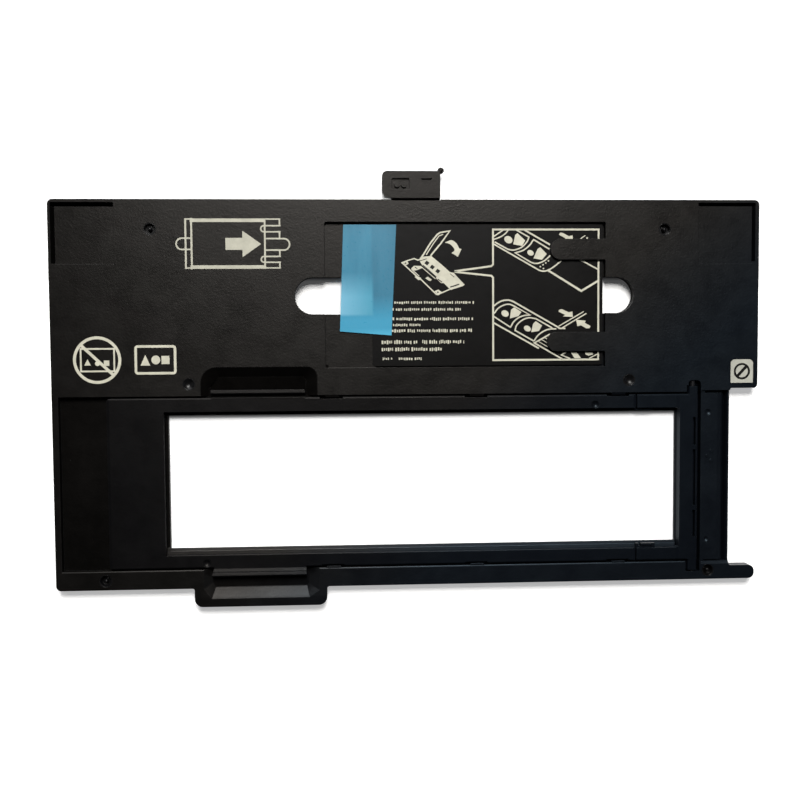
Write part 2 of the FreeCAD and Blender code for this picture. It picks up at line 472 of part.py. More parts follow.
# ================================================================ write
os.makedirs("parts", exist_ok=True)
parts = {"base_frame": base, "film_cover_frame": cover, "cover_hinge_frame": hf,
         "hinge_pin_far": pin_far, "hinge_pin_near": pin_near, "flattening_sheet": sheet,
         "transit_tape": tape, "ring_label": label}
parts.update(feet)
allbb = FreeCAD.BoundBox()
for name, s in parts.items():
    s = s.copy()
    s.translate(V(OX, OY, 0))
    sol = s.Solids
    if len(sol) == 1:
        s = sol[0]
    print("%-20s solids %d valid %s vol %.1f  bb %s" % (name, len(sol), s.isValid(), s.Volume,
          [round(t, 2) for t in (s.BoundBox.XMin, s.BoundBox.XMax, s.BoundBox.YMin, s.BoundBox.YMax, s.BoundBox.ZMin, s.BoundBox.ZMax)]))
    allbb.add(s.BoundBox)
    s.exportStep("parts/%s.step" % name)
print("all", allbb)
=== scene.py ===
import bpy, bmesh, math, random
from mathutils import Vector, Matrix


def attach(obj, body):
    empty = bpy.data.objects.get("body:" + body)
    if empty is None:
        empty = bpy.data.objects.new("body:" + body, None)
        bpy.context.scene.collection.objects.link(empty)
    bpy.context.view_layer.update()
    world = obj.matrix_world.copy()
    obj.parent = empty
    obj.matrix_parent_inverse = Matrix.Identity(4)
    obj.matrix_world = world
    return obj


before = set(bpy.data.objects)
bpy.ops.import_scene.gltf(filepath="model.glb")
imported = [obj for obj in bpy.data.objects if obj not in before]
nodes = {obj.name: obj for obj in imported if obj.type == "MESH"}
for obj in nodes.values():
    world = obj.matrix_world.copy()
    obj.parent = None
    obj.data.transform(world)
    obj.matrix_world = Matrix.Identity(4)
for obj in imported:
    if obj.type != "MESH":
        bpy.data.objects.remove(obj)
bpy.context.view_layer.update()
random.seed(12)
scene = bpy.context.scene

MM = 0.001
OX, OY = -0.15, -2.725          # plan coordinates (middle of the plate) to the row frame


def P(u, v):
    return ((u + OX) * MM, (v + OY) * MM)


# ------------------------------------------------------------------ materials
def new_mat(name):
    m = bpy.data.materials.new(name)
    m.use_nodes = True
    nt = m.node_tree
    nt.nodes.clear()
    out = nt.nodes.new("ShaderNodeOutputMaterial")
    bsdf = nt.nodes.new("ShaderNodeBsdfPrincipled")
    nt.links.new(bsdf.outputs[0], out.inputs[0])
    return m, nt, bsdf


class G:
    """Small node-graph helper."""

    def __init__(self, nt):
        self.nt = nt

    def node(self, kind, **kw):
        n = self.nt.nodes.new(kind)
        for k, v in kw.items():
            setattr(n, k, v)
        return n

    def link(self, a, b):
        self.nt.links.new(a, b)

    def noise(self, vec, scale, detail=4.0, rough=0.55, dist=0.0):
        n = self.node("ShaderNodeTexNoise")
        n.inputs["Scale"].default_value = scale
        n.inputs["Detail"].default_value = detail
        n.inputs["Roughness"].default_value = rough
        n.inputs["Distortion"].default_value = dist
        self.link(vec, n.inputs["Vector"])
        return n.outputs["Fac"]

    def ramp(self, fac, a, b, ca=(0, 0, 0, 1), cb=(1, 1, 1, 1)):
        r = self.node("ShaderNodeValToRGB")
        r.color_ramp.elements[0].position = a
        r.color_ramp.elements[1].position = b
        r.color_ramp.elements[0].color = ca
        r.color_ramp.elements[1].color = cb
        self.link(fac, r.inputs[0])
        return r.outputs[0]

    def maprange(self, v, a, b, c, d):
        n = self.node("ShaderNodeMapRange")
        self.link(v, n.inputs[0])
        for i, x in enumerate((a, b, c, d)):
            n.inputs[i + 1].default_value = x
        return n.outputs[0]

    def math(self, op, a, b=None):
        n = self.node("ShaderNodeMath", operation=op)
        for i, x in enumerate((a, b)):
            if x is None:
                continue
            if isinstance(x, (int, float)):
                n.inputs[i].default_value = x
            else:
                self.link(x, n.inputs[i])
        return n.outputs[0]

    def mix(self, fac, a, b):
        n = self.node("ShaderNodeMix", data_type="RGBA")
        if isinstance(fac, (int, float)):
            n.inputs[0].default_value = fac
        else:
            self.link(fac, n.inputs[0])
        for s, x in ((6, a), (7, b)):
            if isinstance(x, tuple):
                n.inputs[s].default_value = x
            else:
                self.link(x, n.inputs[s])
        return n.outputs[2]

    def mapped(self, vec, scale=(1, 1, 1), rot=(0, 0, 0)):
        n = self.node("ShaderNodeMapping")
        n.inputs["Scale"].default_value = scale
        n.inputs["Rotation"].default_value = rot
        self.link(vec, n.inputs["Vector"])
        return n.outputs[0]

    def bump(self, h, dist, strength=1.0, normal=None):
        n = self.node("ShaderNodeBump")
        n.inputs["Strength"].default_value = strength
        n.inputs["Distance"].default_value = dist
        self.link(h, n.inputs["Height"])
        if normal is not None:
            self.link(normal, n.inputs["Normal"])
        return n.outputs[0]


def moulded(name, dark, light, rough=(0.42, 0.56), grain=5200.0, grain_depth=0.00002, edge=(0.03, 0.03, 0.031, 1),
            dust=0.5, bevel=0.00022, spec=0.42, pebble=0.0, low_spec=None, cool=False):
    m, nt, b = new_mat(name)
    g = G(nt)
    b.inputs["Specular IOR Level"].default_value = spec
    co = g.node("ShaderNodeTexCoord").outputs["Object"]
    big = g.noise(co, 34.0, 5.0, 0.6)
    mid = g.noise(co, 240.0, 4.0, 0.6)
    fine = g.noise(co, grain, 2.0, 0.5)
    patch = g.noise(co, 95.0, 4.0, 0.62, 0.4)
    tone = g.math("ADD", g.math("MULTIPLY", big, 0.6), g.math("MULTIPLY", mid, 0.4))
    col = g.mix(g.maprange(tone, 0.32, 0.68, 0.0, 1.0), dark, light)
    # polished, slightly paler arrises
    bev = g.node("ShaderNodeBevel", samples=4)
    bev.inputs["Radius"].default_value = bevel
    geo = g.node("ShaderNodeNewGeometry")
    dot = g.node("ShaderNodeVectorMath", operation="DOT_PRODUCT")
    g.link(bev.outputs[0], dot.inputs[0])
    g.link(geo.outputs["Normal"], dot.inputs[1])
    wear = g.maprange(dot.outputs["Value"], 0.995, 0.86, 0.0, 1.0)
    wear = g.math("MULTIPLY", wear, g.maprange(mid, 0.35, 0.7, 0.25, 0.9))
    col = g.mix(g.math("MULTIPLY", wear, 0.55), col, edge)
    # specks of dust and tiny nicks
    vor = g.node("ShaderNodeTexVoronoi")
    vor.inputs["Scale"].default_value = 210.0
    g.link(co, vor.inputs["Vector"])
    speck = g.maprange(vor.outputs["Distance"], 0.035, 0.02, 0.0, 1.0)
    sel = g.node("ShaderNodeSeparateColor")
    g.link(vor.outputs["Color"], sel.inputs[0])
    speck = g.math("MULTIPLY", speck, g.maprange(sel.outputs[0], 0.80, 0.82, 0.0, 1.0))
    col = g.mix(g.math("MULTIPLY", speck, dust), col, (0.08, 0.078, 0.075, 1))
    g.link(col, b.inputs["Base Color"])
    r = g.maprange(patch, 0.3, 0.7, rough[0], rough[1])
    r = g.math("ADD", r, g.math("MULTIPLY", g.math("SUBTRACT", big, 0.5), 0.12))
    g.link(r, b.inputs["Roughness"])
    n = g.bump(fine, grain_depth, 0.9, bev.outputs[0])
    n = g.bump(mid, 0.00008, 0.6, n)
    if pebble:
        n = g.bump(g.noise(co, 1100.0, 2.5, 0.6), pebble, 1.0, n)
    if low_spec is not None or cool:
        xyz = g.node("ShaderNodeSeparateXYZ")
        g.link(co, xyz.inputs[0])
        x, y, z = xyz.outputs["X"], xyz.outputs["Y"], xyz.outputs["Z"]
        # painted light: the reflections and the base colour turn from warm to bluish towards the hinge end's near
        # corner, standing in for bluish light there
        painted_blue_light = g.maprange(g.math("SUBTRACT", g.math("MULTIPLY", x, 0.8), y), 0.022, 0.088, 0.0, 1.0)
        g.link(g.mix(painted_blue_light, (1.0, 0.955, 0.91, 1), (0.62, 0.82, 1.0, 1)), b.inputs["Specular Tint"])
        g.link(g.mix(g.math("MULTIPLY", painted_blue_light, 0.85), col, (0.0019, 0.0026, 0.0043, 1)), b.inputs["Base Color"])
        # painted sheen: the reflections grow stronger towards the near right
        level = g.maprange(g.math("SUBTRACT", g.math("MULTIPLY", x, 0.5), y), 0.018, 0.112, 1.0, 1.26)
        # and painted shade: the reflections are turned down towards the left end
        level = g.math("MULTIPLY", level, g.maprange(x, -0.150, -0.104, 0.70, 1.0))
        if low_spec is not None:
            # painted shade: surfaces at the film plane and below reflect less, and so do the tab and the loop's bar;
            # painted sheen: the gate's near ledge reflects more;
            # and painted shade: below the plate's top, the far finger pocket and the push-out slot's walls reflect
            # almost nothing
            painted_ledge_sheen = g.math("MULTIPLY", g.maprange(g.math("ABSOLUTE", g.math("ADD", y, 0.0718)), 0.0024, 0.0026, 1.0, 0.0),
                           g.maprange(g.math("ABSOLUTE", g.math("SUBTRACT", x, 0.0061)), 0.1127, 0.1135, 1.0, 0.0))
            flat = g.maprange(z, 0.00292, 0.00299, 0.9, 3.3)
            low = g.math("ADD", g.math("MULTIPLY", painted_ledge_sheen, flat), g.maprange(painted_ledge_sheen, 0.0, 1.0, low_spec / spec, 0.0))
            low = g.math("ADD", g.math("MULTIPLY", low, g.maprange(z, 0.00303, 0.0033, 1.0, 0.0)), g.maprange(z, 0.00303, 0.0033, 0.0, 1.0))
            level = g.math("MULTIPLY", level, low)
            # painted shade: the tab reflects less
            level = g.math("MULTIPLY", level, g.maprange(y, 0.0808, 0.0814, 1.0, 0.76))
            # painted shade: the loop's bar reflects less
            level = g.math("MULTIPLY", level, g.maprange(y, -0.0915, -0.0905, 0.72, 1.0))
            # painted shade on the far finger pocket and on the push-out slot's walls
            painted_shade_mask = g.math("MULTIPLY", g.maprange(g.math("ABSOLUTE", g.math("ADD", x, 0.0657)), 0.0296, 0.0300, 1.0, 0.0),
                         g.maprange(g.math("ABSOLUTE", g.math("SUBTRACT", y, 0.0034)), 0.0066, 0.0068, 1.0, 0.0))
            slot_wall_shade_mask = g.math("MULTIPLY", g.maprange(g.math("ABSOLUTE", g.math("SUBTRACT", x, 0.0241)), 0.0760, 0.0765, 1.0, 0.0),
                         g.maprange(g.math("ABSOLUTE", g.math("SUBTRACT", y, 0.03982)), 0.00805, 0.00815, 1.0, 0.0))
            painted_shade_mask = g.math("MULTIPLY", g.math("MAXIMUM", painted_shade_mask, slot_wall_shade_mask), g.maprange(z, 0.0057, 0.0059, 1.0, 0.0))
            level = g.math("MULTIPLY", level, g.maprange(painted_shade_mask, 0.0, 1.0, 1.0, 0.09))
        else:
            # painted shade: the window's sloping right end reflects less
            end = g.math("MULTIPLY", g.maprange(x, 0.1174, 0.1178, 0.0, 1.0), g.maprange(x, 0.1189, 0.1192, 1.0, 0.0))
            level = g.math("MULTIPLY", level, g.maprange(end, 0.0, 1.0, 1.0, 0.78))
            # painted shade: surfaces below 4.4 mm reflect almost nothing
            level = g.math("MULTIPLY", level, g.maprange(z, 0.0036, 0.0044, 0.05, 1.0))
        g.link(g.math("MULTIPLY", level, spec), b.inputs["Specular IOR Level"])
    g.link(n, b.inputs["Normal"])
    return m


def ink(name, colour, spec=0.4):
    m, nt, b = new_mat(name)
    g = G(nt)
    b.inputs["Specular IOR Level"].default_value = spec
    co = g.node("ShaderNodeTexCoord").outputs["Object"]
    n1 = g.noise(co, 2600.0, 3.0, 0.6)
    n2 = g.noise(co, 300.0, 3.0, 0.6)
    dark = tuple(c * 0.80 for c in colour[:3]) + (1,)
    col = g.mix(g.maprange(n2, 0.3, 0.7, 0.0, 1.0), dark, colour)
    g.link(g.mix(g.maprange(n1, 0.62, 0.8, 0.0, 0.45), col, tuple(c * 0.6 for c in colour[:3]) + (1,)), b.inputs["Base Color"])
    g.link(g.maprange(n1, 0.3, 0.7, 0.45, 0.6), b.inputs["Roughness"])
    g.link(g.bump(n1, 0.000008, 0.7), b.inputs["Normal"])
    return m


M_BASE = moulded("base_moulding", (0.0014, 0.0013, 0.0012, 1), (0.0032, 0.0029, 0.0027, 1), rough=(0.355, 0.455), spec=0.232,
                 pebble=0.000062, low_spec=0.068, cool=True)
M_COVER = moulded("cover_moulding", (0.0013, 0.0013, 0.0015, 1), (0.0028, 0.0028, 0.0033, 1), rough=(0.35, 0.42), spec=0.172,
                  pebble=0.00004, cool=True)
M_HINGE = moulded("hinge_moulding", (0.0014, 0.0015, 0.0018, 1), (0.0029, 0.0034, 0.0042, 1), rough=(0.35, 0.42), spec=0.19,
                  pebble=0.00004, cool=True)
M_SHEET = moulded("sheet_plastic", (0.0018, 0.0017, 0.0016, 1), (0.0031, 0.0028, 0.0027, 1), rough=(0.40, 0.45), spec=0.112,
                  grain=7000.0, grain_depth=0.000008, dust=0.4, bevel=0.00012)
M_PIN = moulded("pin_plastic", (0.005, 0.005, 0.006, 1), (0.009, 0.009, 0.010, 1), rough=(0.25, 0.35))
M_FOOT = moulded("foot_plastic", (0.002, 0.002, 0.0023, 1), (0.004, 0.004, 0.0044, 1), rough=(0.27, 0.35), dust=0.2, spec=0.26)
M_INK = ink("cream_print", (0.56, 0.545, 0.44, 1))
M_LABEL = ink("label_film", (0.44, 0.44, 0.385, 1))
M_LABEL_INK = ink("label_print", (0.006, 0.006, 0.006, 1), 0.12)
M_INK2 = ink("cream_print_thin", (0.45, 0.44, 0.36, 1))
M_GAP = ink("print_gap", (0.012, 0.011, 0.010, 1), 0.15)


def tape_mat():
    m, nt, b = new_mat("tape_film")
    g = G(nt)
    co = g.node("ShaderNodeTexCoord").outputs["Object"]
    wide = g.noise(g.mapped(co, (160, 24, 30), (0, 0, 0.05)), 1.0, 3.0, 0.55)
    fine = g.noise(co, 900.0, 3.0, 0.6)
    sep = g.node("ShaderNodeSeparateXYZ")
    g.link(co, sep.inputs[0])
    x, y = sep.outputs["X"], sep.outputs["Y"]
    left = g.mix(g.maprange(wide, 0.3, 0.7, 0.0, 1.0), (0.034, 0.192, 0.303, 1), (0.052, 0.243, 0.366, 1))
    over_sheet = g.mix(g.maprange(wide, 0.3, 0.7, 0.0, 1.0), (0.036, 0.178, 0.280, 1), (0.046, 0.208, 0.320, 1))
    col = g.mix(g.maprange(x, -0.0172, -0.0162, 0.0, 1.0), left, over_sheet)
    # paler below the slot's middle, and painted light where the white floor under the open slot would shine through it,
    # brightest at the left
    col = g.mix(g.maprange(y, 0.0290, 0.0400, 1.0, 0.0), col, (0.056, 0.328, 0.510, 1))
    painted_floor_light = g.mix(g.maprange(x, -0.0310, -0.0175, 0.0, 1.0), (0.185, 0.465, 0.635, 1), (0.078, 0.335, 0.480, 1))
    floor_light_mask = g.math("MULTIPLY", g.maprange(y, 0.0308, 0.0320, 0.0, 1.0), g.maprange(y, 0.0395, 0.0500, 1.0, 0.0))
    floor_light_mask = g.math("MULTIPLY", floor_light_mask, g.maprange(x, -0.0170, -0.0158, 1.0, 0.0))
    col = g.mix(floor_light_mask, col, painted_floor_light)
    edge = g.math("MULTIPLY", g.maprange(y, 0.0232, 0.0258, 1.0, 0.0), g.maprange(x, -0.0290, -0.0130, 0.1, 1.0))
    col = g.mix(edge, col, (0.085, 0.430, 0.640, 1))
    g.link(col, b.inputs["Base Color"])
    b.inputs["Alpha"].default_value = 0.82
    g.link(g.maprange(fine, 0.3, 0.7, 0.27, 0.35), b.inputs["Roughness"])
    n = g.bump(wide, 0.0003, 0.4)
    n = g.bump(fine, 0.000004, 0.5, n)
    g.link(n, b.inputs["Normal"])
    return m


M_TAPE = tape_mat()

for name, mat in (("base_frame", M_BASE), ("film_cover_frame", M_COVER), ("cover_hinge_frame", M_HINGE),
                  ("hinge_pin_far", M_PIN), ("hinge_pin_near", M_PIN), ("flattening_sheet", M_SHEET),
                  ("transit_tape", M_TAPE), ("ring_label", M_LABEL),
                  ("foot_far_left", M_FOOT), ("foot_far_right", M_FOOT), ("foot_middle_left", M_FOOT),
                  ("foot_middle_right", M_FOOT), ("foot_near_left", M_FOOT), ("foot_near_right", M_FOOT)):
    me = nodes[name].data
    me.materials.clear()
    me.materials.append(mat)

# ------------------------------------------------------------------ printed marks
def S(u, v):
    """Marks on the sheet were set out on the plate's top plane; this brings them down on to the sheet."""
    k = 1.00367
    return P(-26.05 + (u + 26.05) * k, 17.12 + (v - 17.12) * k)


class Print:
    """One printed figure: thin closed prisms of ink, each a hair higher than the last so that none share a face."""

    def __init__(self, name, mat, z, place, body, thick=0.034, pen=0.84):
        self.name, self.mat, self.z, self.place, self.body = name, mat, z, place, body
        self.thick, self.pen = thick, pen
        self.bm = bmesh.new()
        self.k = 0

    def _z(self):
        self.k += 1
        return self.z, self.z + self.thick + 0.0022 * (self.k % 7)

    def fill(self, pts):
        z0, z1 = self._z()
        area2 = sum(pts[i - 1][0] * pts[i][1] - pts[i][0] * pts[i - 1][1] for i in range(len(pts)))
        if area2 < 0:
            pts = list(reversed(pts))
        lo, hi = [], []
        for u, v in pts:
            x, y = self.place(u, v)
            lo.append(self.bm.verts.new((x, y, z0 * MM)))
            hi.append(self.bm.verts.new((x, y, z1 * MM)))
        n = len(pts)
        top = self.bm.faces.new(hi)
        bot = self.bm.faces.new(list(reversed(lo)))
        for i in range(n):
            j = (i + 1) % n
            self.bm.faces.new((lo[i], lo[j], hi[j], hi[i]))
        top.normal_update()
        bot.normal_update()
        bmesh.ops.triangulate(self.bm, faces=[top, bot])

    def stroke(self, pts, w, closed=False):
        """A ribbon of width w along pts, mitred, as one closed ring of quads."""
        pts = [Vector((a, b)) for a, b in pts]
        w = w * self.pen
        n = len(pts)
        z0, z1 = self._z()
        rows = []
        for i in range(n):
            if closed:
                a, b, c = pts[i - 1], pts[i], pts[(i + 1) % n]
            else:
                a, b, c = pts[max(i - 1, 0)], pts[i], pts[min(i + 1, n - 1)]
            d1 = (b - a).normalized() if (b - a).length > 1e-9 else (c - b).normalized()
            d2 = (c - b).normalized() if (c - b).length > 1e-9 else d1
            n1, n2 = Vector((-d1.y, d1.x)), Vector((-d2.y, d2.x))
            m = (n1 + n2)
            m = m.normalized() if m.length > 1e-6 else n1
            k = min(1.0 / max(m.dot(n1), 0.35), 1.9) * w / 2
            row = []
            for side in (1, -1):
                x, y = self.place(*(b + m * k * side))
                row += [self.bm.verts.new((x, y, z0 * MM)), self.bm.verts.new((x, y, z1 * MM))]
            rows.append(row)          # left low, left high, right low, right high
        rng = range(n) if closed else range(n - 1)
        for i in rng:
            p, q = rows[i], rows[(i + 1) % n]
            self.bm.faces.new((p[1], p[3], q[3], q[1]))
            self.bm.faces.new((p[0], q[0], q[2], p[2]))
            self.bm.faces.new((p[0], p[1], q[1], q[0]))
            self.bm.faces.new((p[2], q[2], q[3], p[3]))
        if not closed:
            p, q = rows[0], rows[-1]
            self.bm.faces.new((p[0], p[2], p[3], p[1]))
            self.bm.faces.new((q[0], q[1], q[3], q[2]))

    def disc(self, c, r, n=20, ry=None, turn=0.0):
        ry = ry or r
        ct, st = math.cos(turn), math.sin(turn)
        self.fill([(c[0] + r * math.cos(2 * math.pi * i / n) * ct - ry * math.sin(2 * math.pi * i / n) * st,
                    c[1] + r * math.cos(2 * math.pi * i / n) * st + ry * math.sin(2 * math.pi * i / n) * ct)
                   for i in range(n)])

    def done(self):
        bmesh.ops.recalc_face_normals(self.bm, faces=self.bm.faces[:])
        me = bpy.data.meshes.new(self.name)
        self.bm.to_mesh(me)
        self.bm.free()
        me.materials.append(self.mat)
        o = bpy.data.objects.new(self.name, me)
        scene.collection.objects.link(o)
        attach(o, self.body)
        return o


def arc(cx, cy, r, a0, a1, n=14, ry=None):
    ry = ry or r
    return [(cx + r * math.cos(math.radians(a0 + (a1 - a0) * i / n)), cy + ry * math.sin(math.radians(a0 + (a1 - a0) * i / n)))
            for i in range(n + 1)]


def smooth(pts, n=6):
    """Catmull-Rom through the points."""
    q = [Vector(p) for p in pts]
    q = [q[0] * 2 - q[1]] + q + [q[-1] * 2 - q[-2]]
    out = []
    for i in range(1, len(q) - 2):
        for k in range(n):
            t = k / n
            a, b, c, d = q[i - 1], q[i], q[i + 1], q[i + 2]
            out.append(tuple(0.5 * ((2 * b) + (c - a) * t + (2 * a - 5 * b + 4 * c - d) * t * t + (3 * b - a - 3 * c + d) * t ** 3)))
    out.append(tuple(q[-2]))
    return out


ZP = 5.985      # prints on the plate
ZS = 4.490      # prints on the sheet

# storage figure: where the sheet lives, drawn as a plan of the store with an arrow
pr = Print("print_store_figure", M_INK2, ZP, P, "base")
pr.stroke([(-96.1, 54.2), (-96.1, 75.7)], 0.95)
pr.stroke([(-93.6, 54.0), (-93.6, 75.9)], 0.95)
pr.stroke([(-94.2, 74.9), (-62.2, 74.9)], 1.8)
pr.stroke([(-94.2, 55.0), (-62.2, 55.0)], 1.8)
pr.stroke([(-96.5, 75.4), (-93.8, 75.4)], 0.7)
pr.stroke([(-96.5, 54.6), (-93.8, 54.6)], 0.7)
pr.stroke([(-62.4, 54.5), (-62.4, 75.6)], 0.9)
pr.stroke([(-55.6, 72.6)] + [(-62.8, 72.6)] + arc(-62.8, 71.3, 1.3, 90, 270, 10)[1:-1] + [(-62.8, 70.0), (-55.6, 70.0)], 0.75)
pr.stroke([(-55.6, 59.5)] + [(-62.8, 59.5)] + arc(-62.8, 58.25, 1.25, 90, 270, 10)[1:-1] + [(-62.8, 57.0), (-55.6, 57.0)], 0.75)
for a, b in ((75.3, 72.6), (70.0, 67.1), (62.2, 59.5), (57.0, 54.6)):
    pr.stroke([(-56.1, a), (-56.1, b)], 0.8)
pr.stroke([(-62.4, 75.4), (-55.7, 75.4)], 0.7)
pr.stroke([(-62.4, 54.6), (-55.7, 54.6)], 0.7)
pr.stroke([(-62.0, 67.1), (-54.3, 67.1)] + arc(-54.3, 64.65, 2.45, 90, -90, 16)[1:-1] + [(-54.3, 62.2), (-62.0, 62.2)], 0.8)
pr.stroke([(-94.0, 67.3), (-97.7, 67.3)] + arc(-97.7, 64.9, 2.4, 90, 270, 16)[1:-1] + [(-97.7, 62.5), (-94.0, 62.5)], 0.8)
pr.fill([(-79.2, 62.3), (-72.0, 62.3), (-72.0, 59.2), (-64.0, 64.8), (-72.0, 70.5), (-72.0, 67.4), (-79.2, 67.4)])
pr.done()

# slashed ring round a plain card
pr = Print("print_slashed_ring", M_INK, ZP, P, "base")
pr.stroke(arc(-134.4, 15.5, 9.55, 0, 360 - 360 / 64, 63), 1.5, closed=True)
pr.stroke([(-141.3, 10.7), (-127.2, 10.7), (-127.2, 20.3), (-141.3, 20.3)], 0.85, closed=True)
pr.stroke([(-141.3, 22.0), (-127.6, 9.0)], 1.5)
pr.fill([(-139.9, 13.2), (-137.1, 13.2), (-138.5, 15.9)])
pr.disc((-134.3, 14.0), 1.05, 16)
pr.fill([(-131.6, 13.0), (-129.3, 13.0), (-129.3, 15.3), (-131.6, 15.3)])
pr.done()

# framed card with a plain row of shapes
pr = Print("print_framed_card", M_INK, ZP, P, "base")
pr.stroke(arc(-102.3, 20.3, 0.9, 0, 90, 5) + arc(-117.2, 20.3, 0.9, 90, 180, 5) + arc(-117.2, 10.6, 0.9, 180, 270, 5)
          + arc(-102.3, 10.6, 0.9, 270, 360, 5), 1.3, closed=True)
pr.fill([(-116.1, 13.0), (-112.0, 13.0), (-114.05, 17.6)])
pr.disc((-109.6, 15.4), 1.9, 24)
pr.fill([(-107.2, 13.6), (-103.8, 13.6), (-103.8, 17.1), (-107.2, 17.1)])
pr.done()

# the sheet's panel and its leader
pr = Print("print_sheet_panel", M_INK, ZS, S, "sheet")
pr.stroke([(19.3, 53.0), (35.4, 55.15), (36.15, 55.9), (36.15, 71.0), (82.6, 71.0), (82.6, 14.3), (36.15, 14.3),
           (36.15, 50.2), (35.4, 51.0), (19.3, 52.75)], 0.95)
pr.done()

# first figure on the panel
pr = Print("print_figure_upper", M_INK, ZS, S, "sheet")
pr.stroke([(36.5, 64.7), (56.3, 53.4)] + smooth([(57.2, 53.05), (58.9, 52.95), (61.0, 53.7), (63.6, 55.4), (66.3, 57.6)])[1:], 0.75)
pr.stroke([(60.0, 53.5), (75.0, 44.3), (82.5, 48.7)], 1.05)
pr.stroke([(73.5, 58.4), (82.4, 53.7)], 0.75)
pr.stroke([(49.6, 71.0), (61.2, 64.4)], 0.85)
pr.stroke([(36.5, 68.0), (40.8, 70.9)], 0.65)
pr.stroke(smooth([(36.5, 66.7), (39.4, 67.8), (41.6, 69.3), (43.0, 71.0)]), 0.65)
pr.stroke([(36.9, 65.6), (42.6, 62.5)] + smooth([(43.6, 62.15), (45.8, 62.2), (48.8, 63.4), (51.1, 65.8), (51.9, 67.7)])[1:]
          + [(46.0, 71.0)], 0.7)
pr.stroke([(60.9, 62.5), (54.0, 66.6)] + smooth([(53.8, 66.5), (52.2, 64.2), (49.4, 62.0), (45.9, 60.9)])[1:]
          + [(53.0, 56.7)] + smooth([(54.0, 56.35), (56.0, 56.4), (58.7, 57.5), (61.3, 59.7)])[1:], 0.7)
for c in ((56.9, 54.9), (58.1, 55.7), (59.3, 56.5), (60.5, 57.4), (58.3, 54.1)):
    pr.disc(c, 0.36, 10)
# plain pictures in the two frames: a round sun and a low hill in each
pr.disc((42.9, 66.6), 1.9, 22, 1.5, -0.5)
pr.fill([(45.0, 64.6), (48.9, 63.9), (50.3, 66.2), (46.9, 69.4), (45.9, 68.7)])
pr.disc((52.6, 60.9), 1.5, 22, 1.15, -0.5)
pr.fill([(53.9, 58.5), (57.6, 57.9), (59.8, 60.4), (56.9, 63.3), (55.7, 62.6)])
pr.fill([(65.1, 69.0), (65.8, 69.7), (66.8, 69.5), (69.5, 68.1), (71.1, 68.5), (71.3, 66.4), (67.0, 66.4), (68.0, 67.2), (65.5, 68.5)])
pr.stroke([(74.6, 67.0), (76.7, 68.4)], 0.5)
pr.disc((77.5, 67.3), 0.4, 10)
pr.done()

# second figure on the panel
pr = Print("print_figure_lower", M_INK, ZS, S, "sheet")
pr.stroke(smooth([(36.5, 37.9), (38.2, 39.2), (40.4, 40.2), (43.0, 40.4), (45.0, 39.8)]) + [(64.3, 28.8), (65.4, 28.0), (68.0, 28.0)], 0.8)
pr.stroke([(43.8, 28.6)] + smooth([(44.0, 29.0), (45.2, 31.0), (47.4, 32.8), (50.0, 33.7), (52.4, 33.9)]) + [(45.0, 38.0)]
          + smooth([(44.8, 38.1), (43.2, 38.6), (41.0, 38.3), (38.4, 36.9), (36.6, 34.6)])[1:], 0.7)
pr.stroke([(36.5, 33.3), (43.9, 28.5)], 0.7)
pr.stroke([(54.9, 32.3), (62.2, 28.2)], 0.7)
pr.stroke([(54.1, 22.5), (45.8, 27.2)] + smooth([(45.8, 27.4), (46.6, 29.6), (49.0, 31.7), (51.9, 32.7), (54.9, 32.3)]), 0.7)
pr.stroke(smooth([(54.1, 22.5), (56.0, 25.1), (58.8, 27.0), (61.2, 27.7), (64.0, 27.8)]), 0.7)
pr.stroke([(36.5, 30.5), (56.3, 19.3)], 0.8)
pr.stroke([(61.2, 25.5), (54.3, 21.7), (66.8, 14.5)], 0.8)
for a, b in (((56.2, 22.3), (61.7, 19.1)), ((57.6, 23.1), (61.4, 20.9)), ((59.0, 23.9), (61.0, 22.7))):
    pr.stroke([a, b], 0.36)
pr.stroke([(65.0, 28.9), (76.1, 35.3)], 0.55)
pr.stroke([(66.2, 28.0), (77.3, 34.5)], 0.6)
pr.disc((41.4, 34.6), 1.7, 22, 1.35, -0.5)
pr.fill([(43.5, 32.4), (47.2, 33.4), (48.6, 35.2), (45.4, 37.3), (44.0, 36.2)])
pr.disc((51.2, 28.0), 1.6, 22, 1.2, -0.5)
pr.fill([(52.9, 26.4), (56.3, 26.9), (57.7, 29.3), (54.9, 31.2), (53.7, 30.0)])
pr.fill([(64.9, 35.5), (65.6, 36.3), (66.7, 36.3), (69.5, 35.0), (71.1, 35.4), (71.3, 33.0), (66.9, 33.2), (67.9, 33.9), (65.4, 35.1)])
pr.fill([(72.8, 31.7), (77.1, 31.3), (76.6, 30.4), (79.2, 28.9), (78.7, 28.0), (77.4, 27.9), (74.9, 29.3), (73.3, 28.9)])
pr.stroke([(68.6, 17.6), (66.2, 16.4), (70.2, 14.7)], 0.7)
pr.fill([(70.3, 17.7), (72.9, 17.6), (75.0, 14.9), (72.1, 14.9)])
pr.fill([(76.6, 17.7), (80.2, 17.4), (80.3, 16.5), (78.3, 15.9), (76.9, 16.6)])
pr.stroke([(78.6, 14.8), (82.4, 16.7)], 0.55)
pr.done()

